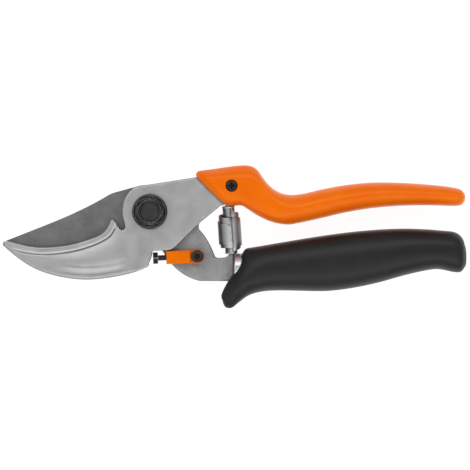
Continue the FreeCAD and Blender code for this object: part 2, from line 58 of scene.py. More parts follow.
FRAME_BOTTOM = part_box("counter_blade_frame")[0].z
FRAME_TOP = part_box("counter_blade_frame")[1].z
ARM_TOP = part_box("cutting_blade")[1].z - 0.05 * MM
NECK_FRONT = 39.3 * MM     # step where the round neck starts
SPRING_LOW = Vector((38.2, -18.7, 8.6)) * MM
SPRING_HIGH = Vector((36.8, 1.9, 11.6)) * MM
UPPER_GRIP_MIDDLE = (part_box("upper_grip")[0].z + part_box("upper_grip")[1].z) / 2
LOWER_GRIP_MIDDLE = (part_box("lower_grip")[0].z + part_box("lower_grip")[1].z) / 2


# ---- sizes ------------------------------------------------------------------------------------------

FRAME_VOXEL = 0.32 * MM    # even mesh of each forging and of the nut
ARM_VOXEL = 0.34 * MM
NUT_VOXEL = 0.14 * MM
EDGE_SPACING = 0.15 * MM   # between the points taken along a forging's border
FORGED_ROUND = 0.6 * MM    # edge roundings: most edges, the hook's lip, its outer edge, the back
LIP_ROUND = 0.3 * MM
OUTER_ROUND = 1.4 * MM
BACK_ROUND = 0.35 * MM
LIP_REACH = 0.8 * MM       # how far in from lip and outer edge their own rounding applies
OUTER_REACH = 1.6 * MM
BEAD = 2.6 * MM            # from the lip to the raised bead along it
GROOVE = 3.3 * MM          # from the lip to the groove behind the bead
HOLLOW = 5.6 * MM          # from the outer edge to the shallow hollow inside it
HOOK_END = -5.0 * MM       # x where the sculpted hook ends at the boss
OUTER_CORNER = Vector((-7.0, -3.0)) * MM    # the outer edge's rounding is left and below of here
TANG_START = 43.0 * MM     # x from which the arm is inside its grip
NECK_TOP = -19.0 * MM      # y of the upper end of the neck's step
GRIP_CORNER = Vector((21.4, 17.0, 0.0)) * MM     # front top corner of the upper grip
GRIP_FRONT_NORMAL = Vector((-13.1, -13.2)).normalized()
CAP_BULGE = 0.5 * MM       # how far a grip's ends are domed
WELL_PLAY = 0.15 * MM      # round the grip screw's head and its nut
WELL_DEPTH = 2.2 * MM      # down to the seat of the screw's head
CROSS_DEPTH = 1.3 * MM     # driver recesses: in the grip screw, in the lever's screw
SOCKET_DEPTH = 1.2 * MM
RECESS_REACH = 1.75 * MM   # from a screw's axis to the end of its driver recess
SPRING_INNER = 2.4 * MM    # radii of the spring's innermost and outermost turn
SPRING_OUTER = 5.3 * MM
SPRING_FIRST = 4.1 * MM    # radius where the wide turns start, outside the collar
SPRING_STRIP = 0.45 * MM   # strip's thickness
SPRING_TURNS = 3.1
COLLAR_SHARE = 0.30        # share of the strip's length in the collar, and where the wide turns start
FIRST_SHARE = 0.42
UPPER_SETBACK = 0.70       # how far the outer turn ends short of the inner one, as shares of half the length
LOWER_SETBACK = 0.41
STRIP_END = math.radians(97)    # where the strip's outer end lies round the spring's axis
# the seam's darkness is painted shade
SEAM_WIDTH = 0.7 * MM      # dark gap beside the strip's outer end


# ---- small helpers ----------------------------------------------------------------------------------

def smoothstep(low, high, value):
    share = min(1.0, max(0.0, (value - low) / (high - low)))
    return share * share * (3 - 2 * share)


def mix(a, b, share):
    return a + (b - a) * share


def spline(points, steps):
    """Points along a smooth curve through the given ones (centripetal enough for even spacing)."""
    padded = [points[0] * 2 - points[1]] + list(points) + [points[-1] * 2 - points[-2]]
    made = []
    for number in range(len(points) - 1):
        a, b, c, d = padded[number:number + 4]
        for step in range(steps):
            t = step / steps
            made.append(0.5 * (2 * b + (c - a) * t + (2 * a - 5 * b + 4 * c - d) * t * t
                               + (3 * b - a - 3 * c + d) * t * t * t))
    made.append(points[-1])
    return made


def add_object(name, mesh):
    made = bpy.data.objects.new(name, mesh)
    bpy.context.scene.collection.objects.link(made)
    return made


def object_from(work, name):
    """Turns a finished bmesh into an object in the scene."""
    mesh = bpy.data.meshes.new(name)
    work.to_mesh(mesh)
    work.free()
    return add_object(name, mesh)


def add_band(work, near, far):
    """Joins two rings of as many vertices with a band of four-sided faces."""
    for number, corner in enumerate(near):
        following = (number + 1) % len(near)
        work.faces.new((corner, near[following], far[following], far[number]))


def shade_smooth(obj, angle=None):
    for face in obj.data.polygons:
        face.use_smooth = True
    if angle is not None:
        obj.data.set_sharp_from_angle(angle=math.radians(angle))


def apply_modifiers(obj):
    graph = bpy.context.evaluated_depsgraph_get()
    graph.update()
    mesh = bpy.data.meshes.new_from_object(obj.evaluated_get(graph))
    obj.modifiers.clear()
    obj.data = mesh


def welded_copy(node, name):
    """A copy of a CAD node's mesh with its split corners joined."""
    mesh = nodes[node].data.copy()
    made = add_object(name, mesh)
    work = bmesh.new()
    work.from_mesh(mesh)
    bmesh.ops.remove_doubles(work, verts=work.verts, dist=0.002 * MM)
    work.to_mesh(mesh)
    work.free()
    mesh.materials.clear()
    return made


def finish_piece(obj, body, material, slot, *replaced):
    obj.data.materials.clear()
    obj.data.materials.append(material)
    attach(obj, body)
    if replaced:
        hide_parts(*replaced)


# ---- materials ---------------------------------------------------------------------------------------

def new_material(name):
    material = bpy.data.materials.new(name)
    material.use_nodes = True
    tree = material.node_tree
    shader = tree.nodes["Principled BSDF"]
    return material, tree, shader


def noise(tree, scale, detail=4.0, roughness=0.6, stretch=(1.0, 1.0, 1.0), turn=0.0):
    """A noise texture in the piece's own coordinates, optionally stretched."""
    where = tree.nodes.new("ShaderNodeTexCoord")
    mapping = tree.nodes.new("ShaderNodeMapping")
    mapping.inputs["Scale"].default_value = stretch
    mapping.inputs["Rotation"].default_value = (0.0, 0.0, turn)
    tree.links.new(where.outputs["Object"], mapping.inputs["Vector"])
    texture = tree.nodes.new("ShaderNodeTexNoise")
    texture.inputs["Scale"].default_value = scale
    texture.inputs["Detail"].default_value = detail
    texture.inputs["Roughness"].default_value = roughness
    tree.links.new(mapping.outputs["Vector"], texture.inputs["Vector"])
    return texture.outputs["Fac"]


def ramp(tree, value, stops):
    node = tree.nodes.new("ShaderNodeValToRGB")
    elements = node.color_ramp.elements
    while len(elements) < len(stops):
        elements.new(0.5)
    for element, (place, colour) in zip(elements, stops):
        element.position = place
        element.color = (*colour, 1.0)
    tree.links.new(value, node.inputs["Fac"])
    return node.outputs["Color"]


def spread(tree, value, low, high):
    """Maps a noise value's usual span to low..high."""
    node = tree.nodes.new("ShaderNodeMapRange")
    node.inputs["From Min"].default_value = 0.3
    node.inputs["From Max"].default_value = 0.7
    node.inputs["To Min"].default_value = low
    node.inputs["To Max"].default_value = high
    tree.links.new(value, node.inputs["Value"])
    return node.outputs["Result"]


def add_bump(tree, shader, height, distance):
    node = tree.nodes.new("ShaderNodeBump")
    node.inputs["Distance"].default_value = distance
    node.inputs["Strength"].default_value = 1.0
    tree.links.new(height, node.inputs["Height"])
    tree.links.new(node.outputs["Normal"], shader.inputs["Normal"])


def grained_metal(name, dark, light, rough_low, rough_high, grain=2600.0, grain_depth=0.012, metallic=1.0,
                  stretch=(1.0, 1.0, 1.0), turn=0.0):
    """Metal with a fine grain over a slow mottling; the grain's depth is in millimetres."""
    material, tree, shader = new_material(name)
    fine = noise(tree, grain, 3.0, 0.7, stretch, turn)
    slow = noise(tree, 140.0, 5.0, 0.6)
    both = tree.nodes.new("ShaderNodeMix")
    both.inputs["Factor"].default_value = 0.45
    tree.links.new(slow, both.inputs["A"])
    tree.links.new(fine, both.inputs["B"])
    middle = tuple(mix(a, b, 0.5) for a, b in zip(dark, light))
    colour = ramp(tree, both.outputs["Result"], ((0.34, dark), (0.5, middle), (0.66, light)))
    tree.links.new(colour, shader.inputs["Base Color"])
    tree.links.new(spread(tree, both.outputs["Result"], rough_low, rough_high), shader.inputs["Roughness"])
    add_bump(tree, shader, fine, grain_depth * MM)
    shader.inputs["Metallic"].default_value = metallic
    return material


def add_painted_light_and_wear(material, painted_shade, polish_and_highlight, scale):
    """Blends a metal's colour by the marks painted on a piece: red painted shade, green edge wear and painted
    highlight, blue painted shade on surfaces that turn away from facing up.
    """
    tree = material.node_tree
    shader = tree.nodes["Principled BSDF"]
    colour = shader.inputs["Base Color"].links[0].from_socket
    shade_and_wear = tree.nodes.new("ShaderNodeAttribute")
    shade_and_wear.attribute_name = "shade_and_wear"
    split = tree.nodes.new("ShaderNodeSeparateColor")
    tree.links.new(shade_and_wear.outputs["Color"], split.inputs["Color"])
    # scale is the colour of the painted shade on side walls
    for channel, target in (("Blue", scale), ("Green", polish_and_highlight), ("Red", painted_shade)):
        blend = tree.nodes.new("ShaderNodeMix")
        blend.data_type = "RGBA"
        blend.inputs[7].default_value = (*target, 1.0)
        tree.links.new(split.outputs[channel], blend.inputs[0])
        tree.links.new(colour, blend.inputs[6])
        colour = blend.outputs[2]
    tree.links.new(colour, shader.inputs["Base Color"])


def moulded_plastic(name, dark, light, rough_low, rough_high, coat=0.0, specular=0.3, sheen=(1.0, 1.0, 1.0)):
    """Moulded plastic with a faint orange-peel skin and handling marks."""
    material, tree, shader = new_material(name)
    slow = noise(tree, 60.0, 4.0, 0.5)
    peel = noise(tree, 900.0, 2.0, 0.5)
    rub = noise(tree, 420.0, 6.0, 0.7)
    colour = ramp(tree, slow, ((0.35, dark), (0.65, light)))
    tree.links.new(colour, shader.inputs["Base Color"])
    tree.links.new(spread(tree, rub, rough_low, rough_high), shader.inputs["Roughness"])
    add_bump(tree, shader, peel, 0.02 * MM)
    shader.inputs["IOR"].default_value = 1.5
    shader.inputs["Specular IOR Level"].default_value = specular
    shader.inputs["Specular Tint"].default_value = (*sheen, 1.0)
    shader.inputs["Coat Weight"].default_value = coat
    shader.inputs["Coat Roughness"].default_value = 0.18
    return material


def soft_rubber(name, dark, light):
    """Matt soft-touch rubber with a fine spark-eroded texture."""
    material, tree, shader = new_material(name)
    slow = noise(tree, 45.0, 5.0, 0.6)
    fine = noise(tree, 2400.0, 3.0, 0.6)
    colour = ramp(tree, slow, ((0.35, dark), (0.65, light)))
    tree.links.new(colour, shader.inputs["Base Color"])
    tree.links.new(spread(tree, slow, 0.38, 0.48), shader.inputs["Roughness"])
    add_bump(tree, shader, fine, 0.02 * MM)
    shader.inputs["IOR"].default_value = 1.45
    shader.inputs["Specular IOR Level"].default_value = 0.40
    return material


def grey(value):
    return (value, value, value * 1.01)


ORANGE_SHEEN = (1.0, 0.72, 0.34)
FORGED = grained_metal("forged_steel", grey(0.44), grey(0.54), 0.38, 0.52)
# colours of the painted shade, the painted highlight and the painted shade on side walls
add_painted_light_and_wear(FORGED, grey(0.05), grey(0.85), grey(0.30))
ARM_STEEL = grained_metal("arm_steel", grey(0.27), grey(0.46), 0.40, 0.58, grain=1900.0, grain_depth=0.03)
# colours of the painted shade at the neck's step, a highlight the arm doesn't use, and the painted shade on
# side walls
add_painted_light_and_wear(ARM_STEEL, grey(0.05), grey(0.80), grey(0.24))
BLADE_STEEL = grained_metal("blade_steel", grey(0.19), grey(0.27), 0.36, 0.50, grain=2200.0,
                            grain_depth=0.008, stretch=(1.0, 0.35, 1.0), turn=0.5)
GROUND_STEEL = grained_metal("ground_steel", grey(0.58), grey(0.74), 0.30, 0.42, grain=2400.0,
                             stretch=(1.0, 0.12, 1.0))
PLAIN_STEEL = grained_metal("plain_steel", grey(0.45), grey(0.62), 0.25, 0.40)
SPRING_STEEL = grained_metal("spring_steel", grey(0.42), grey(0.58), 0.30, 0.44, grain=1800.0,
                             stretch=(1.0, 0.1, 1.0), grain_depth=0.006)
# colours of the painted shade beside the spring's seam, an unused highlight, and the painted shade on the
# sides of the turns
add_painted_light_and_wear(SPRING_STEEL, grey(0.03), grey(0.80), grey(0.20))
BLACK_HARDWARE = grained_metal("black_hardware", grey(0.012), grey(0.035), 0.30, 0.46, metallic=0.75,
                               grain_depth=0.008)
BOLT_BLACK = grained_metal("bolt_black", grey(0.045), grey(0.085), 0.32, 0.46, metallic=0.85,
                           grain_depth=0.008)
SCREW_BLACK = grained_metal("screw_black", (0.045, 0.036, 0.028), (0.080, 0.064, 0.050), 0.32, 0.46,
                            metallic=0.85, grain_depth=0.008)
# painted shade inside the driver recesses
RECESS_SHADE = grained_metal("recess_painted_shade", grey(0.004), grey(0.006), 0.70, 0.80, metallic=0.0,
                             grain_depth=0.004)
NUT_BLACK = grained_metal("nut_black", grey(0.012), grey(0.035), 0.26, 0.40, metallic=0.75,
                          grain_depth=0.008)
# the nut's second colour is edge wear together with a painted highlight
add_painted_light_and_wear(NUT_BLACK, grey(0.01), grey(0.36), grey(0.02))
# bright bevels: edge wear together with a painted highlight
WORN_HIGHLIT_BLACK = grained_metal("worn_highlit_black", grey(0.34), grey(0.52), 0.25, 0.40, grain_depth=0.006)
ORANGE = moulded_plastic("orange_plastic", (0.96, 0.153, 0.0), (1.0, 0.182, 0.0), 0.30, 0.33,
                         specular=0.38, sheen=ORANGE_SHEEN)
ORANGE_LEVER = moulded_plastic("orange_lever", (0.84, 0.15, 0.0), (0.92, 0.185, 0.0), 0.36, 0.46,
                               specular=0.15, sheen=ORANGE_SHEEN)
RUBBER = soft_rubber("black_rubber", (0.009, 0.009, 0.0092), (0.014, 0.014, 0.0143))
NYLON = moulded_plastic("black_nylon", (0.012, 0.012, 0.012), (0.02, 0.02, 0.02), 0.4, 0.55, coat=0.3)


# ---- forged parts: rounded edges and the sculpted hook ------------------------------------------------

def edge_points(obj, height, spacing):
    """Points along the border of a flat face at a height, closely spaced."""
    work = bmesh.new()
    work.from_mesh(obj.data)
    points = []
    for edge in work.edges:
        a, b = (vertex.co for vertex in edge.verts)
        if abs(a.z - height) > 0.01 * MM or abs(b.z - height) > 0.01 * MM or len(edge.link_faces) != 2:
            continue
        tilts = sorted(abs(face.normal.z) for face in edge.link_faces)
        if tilts[0] > 0.5 or tilts[1] < 0.9:
            continue
        count = max(1, int((b - a).length / spacing))
        points += [a.lerp(b, number / count) for number in range(count)]
    work.free()
    return points


def distance_tree(points):
    tree = KDTree(len(points))
    for number, point in enumerate(points):
        tree.insert((point.x, point.y, 0.0), number)
    tree.balance()
    return tree


def rounding(distance, radius):
    """How far a rounded edge lies below the flat, at a distance in from the border."""
    if distance >= radius:
        return 0.0
    return radius - math.sqrt(max(0.0, radius * radius - (radius - distance) ** 2))


def remeshed(obj, voxel):
    """Turns a CAD copy into an even mesh that still lies on the CAD surface."""
    surface = obj.copy()
    bpy.context.scene.collection.objects.link(surface)
    made = obj.modifiers.new("remesh", "REMESH")
    made.mode = "VOXEL"
    made.voxel_size = voxel
    smooth = obj.modifiers.new("smooth", "SMOOTH")
    smooth.factor = 0.5
    smooth.iterations = 2
    snap = obj.modifiers.new("snap", "SHRINKWRAP")
    snap.target = surface
    snap.wrap_method = "NEAREST_SURFACEPOINT"
    relax = obj.modifiers.new("relax", "SMOOTH")
    relax.factor = 0.35
    relax.iterations = 1
    apply_modifiers(obj)
    bpy.data.objects.remove(surface)


LIP = spline([Vector((x, y, 0.0)) * MM for x, y in (
    (-67.8, -13.8), (-64.3, -14.4), (-58.4, -15.9), (-50.6, -16.8), (-42.9, -16.4), (-35.1, -15.1),
    (-27.4, -12.7), (-21.4, -9.6), (-19.1, -6.3), (-18.3, -4.4))], 60)
OUTER_EDGE = spline([Vector((x, y, 0.0)) * MM for x, y in (
    (-68.6, -15.8), (-67.8, -16.7), (-62.3, -21.4), (-53.9, -26.7), (-42.7, -30.4), (-28.6, -31.9),
    (-14.6, -30.2), (-6.2, -28.1), (-1.9, -26.3))], 60)


def bell(value, middle, width):
    return math.exp(-((value - middle) / width) ** 2)


def hook_zones(point, lip_tree, outer_tree):
    """A point's distances from the hook's lip and outer edge, and the strength of each feature there."""
    place = (point.x, point.y, 0.0)
    x = point.x / MM
    along = smoothstep(-67.0, -60.0, x) * (1 - smoothstep(-16.4, -15.6, x))
    upper = smoothstep(-58.0, -34.0, x) * (1 - smoothstep(-20.0, -9.0, x))
    lower = smoothstep(-46.0, -34.0, x) * (1 - smoothstep(-16.0, -9.0, x))
    return lip_tree.find(place)[2], outer_tree.find(place)[2], along, upper, lower


def hook_relief(from_lip, from_outer, along, upper, lower):
    """Height of the hook's sculpted face against the flat boss."""
    height = along * 0.12 * MM * bell(from_lip, BEAD, 0.35 * MM)
    height -= along * 0.45 * MM * bell(from_lip, GROOVE, 0.32 * MM)
    past_groove = max(0.0, from_lip - GROOVE)
    scoop = math.exp(-past_groove / (3.6 * MM)) * smoothstep(0.0, 0.5 * MM, past_groove)
    height -= upper * 1.0 * MM * scoop
    height -= lower * 0.42 * MM * bell(from_outer, HOLLOW, 1.9 * MM)
    return height


def paint_shade_and_highlight(obj, shading_at):
    """Stores each point's painted shade, painted highlight and painted side shade for the material to read.
    """
    layer = obj.data.attributes.new("shade_and_wear", "FLOAT_COLOR", "POINT")
    for vertex in obj.data.vertices:
        painted_shade, polish_and_highlight = shading_at(vertex.co)
        # painted shade: darker where the surface turns away from facing up, on side walls and rounded edges
        scale = 1 - smoothstep(0.45, 0.93, abs(vertex.normal.z))
        layer.data[vertex.index].color = (painted_shade, polish_and_highlight, scale, 1.0)


def make_frame_forging():
    """The counter-blade frame with rounded edges, the hook's sculpted face, painted shade in its groove and
    along its outer edge, a painted highlight on its bead and a painted shadow beside the grip.
    """
    piece = welded_copy("counter_blade_frame", "frame_forging")
    top_edge = distance_tree(edge_points(piece, FRAME_TOP, EDGE_SPACING))
    bottom_edge = distance_tree(edge_points(piece, FRAME_BOTTOM, EDGE_SPACING))
    lip_tree = distance_tree(LIP)
    outer_tree = distance_tree(OUTER_EDGE)
    remeshed(piece, FRAME_VOXEL)
    middle = (FRAME_BOTTOM + FRAME_TOP) / 2
    half = FRAME_TOP - middle
    for vertex in piece.data.vertices:
        point = vertex.co
        place = (point.x, point.y, 0.0)
        if point.z > middle:
            on_hook = point.x < OUTER_CORNER.x and point.y < OUTER_CORNER.y
            from_outer = outer_tree.find(place)[2]
            radius = FORGED_ROUND
            if lip_tree.find(place)[2] < LIP_REACH:
                radius = LIP_ROUND
            elif on_hook and from_outer < OUTER_REACH:
                radius = OUTER_ROUND
            surface = half - rounding(top_edge.find(place)[2], radius)
            if point.x < HOOK_END:
                surface += hook_relief(*hook_zones(point, lip_tree, outer_tree))
            point.z = middle + (point.z - middle) * surface / half
        else:
            surface = half - rounding(bottom_edge.find(place)[2], BACK_ROUND)
            point.z = middle + (point.z - middle) * surface / half
    shade_smooth(piece)

    def frame_shade_and_highlight(point):
        if point.z < middle:
            return 0.0, 0.0
        if point.x > HOOK_END:
            # painted shadow along the upper grip's front edge
            ahead = (point - GRIP_CORNER).xy.dot(GRIP_FRONT_NORMAL)
            return 0.65 * bell(ahead, 0.2 * MM, 0.7 * MM), 0.0
        from_lip, from_outer, along, upper, lower = hook_zones(point, lip_tree, outer_tree)
        # painted shade in the groove behind the bead and along the turn of the outer edge
        painted_shade = 0.8 * along * bell(from_lip, GROOVE, 0.28 * MM)
        painted_shade += 0.35 * lower * bell(from_outer, 2.3 * MM, 0.3 * MM)
        # painted highlight along the bead
        polish_and_highlight = 0.6 * along * bell(from_lip, BEAD, 0.3 * MM)
        return painted_shade, polish_and_highlight

    paint_shade_and_highlight(piece, frame_shade_and_highlight)
    finish_piece(piece, "frame", FORGED, "forged_steel", "counter_blade_frame")


def make_arm_forging():
    """The lower arm with rounded edges, painted shade at the neck's step and the neck ground bright."""
    piece = welded_copy("lower_arm", "arm_forging")
    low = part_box("lower_arm")[0].z
    top_edge = distance_tree(edge_points(piece, ARM_TOP, EDGE_SPACING))
    bottom_edge = distance_tree(edge_points(piece, low, EDGE_SPACING))
    remeshed(piece, ARM_VOXEL)
    middle = (low + ARM_TOP) / 2
    half = ARM_TOP - middle
    for vertex in piece.data.vertices:
        point = vertex.co
        if point.x > TANG_START or point.z > ARM_TOP + 0.1 * MM:
            continue
        place = (point.x, point.y, 0.0)
        edge = top_edge if point.z > middle else bottom_edge
        surface = half - rounding(edge.find(place)[2], FORGED_ROUND)
        point.z = middle + (point.z - middle) * surface / half
    shade_smooth(piece)

    def neck_step_shade(point):
        if point.y > NECK_TOP or point.z < middle:
            return 0.0, 0.0
        # painted shade along the foot of the neck's step
        return 0.85 * bell(point.x, NECK_FRONT - 0.15 * MM, 0.35 * MM), 0.0

    paint_shade_and_highlight(piece, neck_step_shade)
    finish_piece(piece, "arm", ARM_STEEL, "arm_steel", "lower_arm")
    piece.data.materials.append(GROUND_STEEL)
    for face in piece.data.polygons:
        if face.center.z > ARM_TOP + 0.15 * MM and face.center.x > NECK_FRONT + 0.3 * MM:
            face.material_index = 1


# ---- machined and moulded parts with broken edges -------------------------------------------------------

def softened(node, body, material, width, worn_highlight=None):
    """A copy of a CAD part with its sharp edges rounded, and its bevels worn bright where a second material
    is given: edge wear together with a painted highlight.
    """
    piece = welded_copy(node, node + "_soft")
    work = bmesh.new()
    work.from_mesh(piece.data)
    bmesh.ops.dissolve_limit(work, angle_limit=math.radians(0.5), verts=work.verts, edges=work.edges)
    work.to_mesh(piece.data)
    work.free()
    shade_smooth(piece, 30)
    edge = piece.modifiers.new("edge", "BEVEL")
    edge.width = width
    edge.segments = 2
    edge.limit_method = "ANGLE"
    edge.angle_limit = math.radians(35)
    edge.harden_normals = True
    if worn_highlight:
        piece.data.materials.append(material)
        piece.data.materials.append(worn_highlight)
        edge.material = 1
    apply_modifiers(piece)
    if not worn_highlight:
        piece.data.materials.clear()
        piece.data.materials.append(material)
    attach(piece, body)
    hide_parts(node)
    return piece


def softened_screw(node, body, depth):
    """A screw with softened edges whose driver recess is painted near-black inside as painted shade."""
    piece = softened(node, body, SCREW_BLACK, 0.12 * MM)
    piece.data.materials.append(RECESS_SHADE)
    low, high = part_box(node)
    middle = (low + high) / 2
    for face in piece.data.polygons:
        inside = (face.center - middle).xy.length < RECESS_REACH
        if inside and high.z - depth - 0.1 * MM < face.center.z < high.z - 0.2 * MM:
            face.material_index = 1


def paint_worn_highlit_edges(obj, low, high):
    """Brightens the points where the surface turns outward by more than the low angle, in degrees: edge wear
    together with a painted highlight.
    """
    work = bmesh.new()
    work.from_mesh(obj.data)
    work.verts.ensure_lookup_table()
    layer = obj.data.attributes.new("shade_and_wear", "FLOAT_COLOR", "POINT")
    for vertex in work.verts:
        turn = max(edge.calc_face_angle_signed(0.0) for edge in vertex.link_edges)
        layer.data[vertex.index].color = (0.0, smoothstep(low, high, math.degrees(turn)), 0.0, 1.0)
    work.free()


def make_pivot_nut():
    piece = welded_copy("pivot_nut", "nut_worn_highlit")
    remeshed(piece, NUT_VOXEL)
    shade_smooth(piece)
    paint_worn_highlit_edges(piece, 17.0, 34.0)
    finish_piece(piece, "frame", NUT_BLACK, "black_hardware", "pivot_nut")


# ---- grips ---------------------------------------------------------------------------------------------

def closed_tube(name, rings):
    """A skin over rings of points, with a slightly domed cap at each end."""
    work = bmesh.new()
    made = [[work.verts.new(point) for point in ring] for ring in rings]
    for near, far in zip(made, made[1:]):
        add_band(work, near, far)
    for ring, points, inside in ((made[0], rings[0], rings[1]), (made[-1], rings[-1], rings[-2])):
        centre = sum(points, Vector()) / len(points)
        outward = (centre - sum(inside, Vector()) / len(points)).normalized() * CAP_BULGE
        shoulder = [work.verts.new(centre.lerp(point, 0.86) + outward * 0.6) for point in points]
        add_band(work, ring, shoulder)
        crown = [work.verts.new(centre.lerp(point, 0.45) + outward) for point in points]
        add_band(work, shoulder, crown)
        work.faces.new(crown)
    bmesh.ops.recalc_face_normals(work, faces=work.faces)
    return object_from(work, name)


def power(value, exponent):
    return math.copysign(abs(value) ** exponent, value)


# Upper grip, front to back: top rail x, y; bottom rail x, y; half thickness. Millimetres.
UPPER_STATIONS = (
    (21.4, 17.0, 34.6, 3.9, 5.6),
    (22.2, 18.8, 36.4, 2.7, 6.6),
    (24.6, 19.4, 38.8, 2.6, 7.8),
    (30.0, 20.1, 42.8, 2.8, 8.0),
    (36.0, 21.0, 45.6, 1.3, 8.1),
    (42.0, 21.7, 48.6, -0.8, 8.2),
    (46.6, 21.6, 52.0, -2.7, 8.3),
    (50.0, 20.0, 55.0, -4.1, 8.3),
    (52.8, 16.3, 57.6, -5.0, 8.3),
    (55.2, 13.2, 60.0, -5.6, 8.3),
    (58.4, 10.4, 62.6, -6.0, 8.2),
    (62.2, 8.5, 65.6, -6.1, 8.1),
    (67.0, 7.9, 68.6, -5.6, 8.1),
    (73.0, 8.7, 73.6, -4.6, 8.1),
    (81.0, 10.6, 81.6, -2.8, 8.1),
    (91.0, 12.4, 91.4, -0.5, 8.1),
    (104.0, 13.7, 104.0, 1.6, 8.0),
    (119.0, 13.5, 119.0, 2.8, 7.7),
    (133.0, 12.5, 133.0, 2.9, 7.2),
    (141.6, 11.5, 141.6, 2.6, 6.7),
    (145.8, 10.4, 145.8, 3.0, 5.6),
    (147.3, 8.8, 147.3, 4.5, 3.6),
)

# Lower grip, with the finger guard at its front.
LOWER_STATIONS = (
    (44.2, -18.1, 33.9, -42.2, 4.8),
    (45.2, -17.2, 35.4, -44.9, 6.6),
    (47.2, -16.8, 38.4, -45.2, 8.2),
    (50.4, -16.3, 42.0, -42.4, 9.2),
    (54.0, -15.7, 46.6, -39.2, 9.9),
    (58.6, -14.9, 52.8, -37.5, 10.4),
    (64.6, -13.9, 60.6, -37.0, 10.6),
    (73.0, -12.5, 71.4, -37.2, 10.7),
    (84.0, -10.8, 83.4, -37.3, 10.7),
    (96.0, -9.3, 96.0, -35.7, 10.7),
    (108.0, -8.3, 108.0, -33.1, 10.5),
    (119.0, -7.9, 119.0, -30.0, 10.1),
    (129.0, -8.2, 129.0, -27.7, 9.7),
    (136.5, -8.8, 135.4, -27.0, 9.3),
    (143.2, -9.6, 142.0, -28.3, 8.7),
    (146.6, -12.4, 145.8, -28.3, 7.2),
    (147.9, -16.2, 148.0, -25.6, 4.4),
)


def station_spline(stations, steps):
    """The stations filled in along the grip."""
    columns = []
    for first in (0, 2):
        columns.append(spline([Vector((s[first], s[first + 1], s[4])) for s in stations], steps))
    return list(zip(*columns))


def upper_section(top, bottom, _share):
    """One ring of the upper grip: boxy with a ridge in front, rounder behind."""
    rounded = smoothstep(44.0, 66.0, top.x)
    exponent = 2 / mix(4.2, 2.0, rounded)
    ring = []
    steps = 40
    for number in range(steps):
        angle = 2 * math.pi * number / steps
        down = 0.5 - 0.5 * power(math.cos(angle), exponent)
        out = power(math.sin(angle), exponent)
        ridge = mix(0.70, 1.0, smoothstep(0.0, 0.21, down))
        ridge *= mix(1.0, 0.80, smoothstep(0.86, 1.0, down))
        out *= mix(ridge, 1.0, rounded)
        point = top.lerp(bottom, down)
        ring.append(Vector((point.x * MM, point.y * MM, UPPER_GRIP_MIDDLE + out * top.z * MM)))
    return ring


FRONT_BEND = ((0.0, 0.0), (0.24, 0.9), (0.42, 0.8), (0.63, -0.8), (0.75, -1.7), (0.88, -1.9), (1.0, 0.0))


def bend(down):
    """How far the lower grip's front stands off a straight line, at a share of the way down it."""
    for (low, before), (high, after) in zip(FRONT_BEND, FRONT_BEND[1:]):
        if down <= high:
            return mix(before, after, smoothstep(low, high, down))
    return 0.0


def lower_section(top, bottom, share):
    """One ring of the lower grip: a full, slightly boxy oval."""
    rounded = smoothstep(50.0, 62.0, top.x)
    exponent = 2 / mix(2.7, 2.35, rounded)
    ring = []
    steps = 44
    for number in range(steps):
        angle = 2 * math.pi * number / steps
        down = 0.5 - 0.5 * power(math.cos(angle), exponent)
        out = power(math.sin(angle), exponent)
        guard = mix(1.0, mix(1.0, 0.62, smoothstep(0.55, 1.0, down)), 1 - smoothstep(46.0, 60.0, top.x))
        point = top.lerp(bottom, down)
        shift = bend(down) * (1 - smoothstep(0.0, 0.2, share))
        height = LOWER_GRIP_MIDDLE + out * guard * top.z * MM
        ring.append(Vector(((point.x + shift) * MM, point.y * MM, height)))
    return ring


def screw_wells():
    """Cutters for the recess over the upper grip's screw and the pocket behind its nut."""
    head_low, head_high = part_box("upper_grip_screw")
    nut_low, nut_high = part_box("upper_grip_nut")
    middle = (head_low + head_high) / 2
    well_radius = (head_high.x - head_low.x) / 2 + WELL_PLAY
    pocket_radius = (nut_high.x - nut_low.x) / 2 + WELL_PLAY
    return (
        (middle, well_radius, 48, head_high.z - WELL_DEPTH, head_high.z + 4 * MM),
        (middle, pocket_radius, 6, head_low.z - 4 * MM, nut_high.z),
    )


def cut_wells(piece, wells):
    """Cuts round or hexagonal holes, given by centre, radius, number of sides and two heights."""
    for centre, radius, sides, low, high in wells:
        work = bmesh.new()
        rings = []
        for height in (low, high):
            ring = []
            for number in range(sides):
                angle = 2 * math.pi * number / sides
                place = (centre.x + radius * math.cos(angle), centre.y + radius * math.sin(angle), height)
                ring.append(work.verts.new(place))
            rings.append(ring)
        add_band(work, rings[0], rings[1])
        work.faces.new(list(reversed(rings[0])))
        work.faces.new(rings[1])
        cutter = object_from(work, "well_cutter")
        cut = piece.modifiers.new("well", "BOOLEAN")
        cut.operation = "DIFFERENCE"
        cut.solver = "EXACT"
        cut.object = cutter
        apply_modifiers(piece)
        bpy.data.objects.remove(cutter)


def make_grip(name, stations, section, body, material, slot, node, wells=()):
    filled = station_spline(stations, 4)
    rings = [section(top, bottom, number / len(filled)) for number, (top, bottom) in enumerate(filled)]
    piece = closed_tube(name, rings)
    smooth = piece.modifiers.new("smooth", "SUBSURF")
    smooth.levels = 1
    smooth.render_levels = 1
    apply_modifiers(piece)
    cut_wells(piece, wells)
    shade_smooth(piece, 50)
    finish_piece(piece, body, material, slot, node)


# ---- volute spring --------------------------------------------------------------------------------------

STRIP_ROWS = 7             # points across the strip
STEPS_PER_TURN = 56


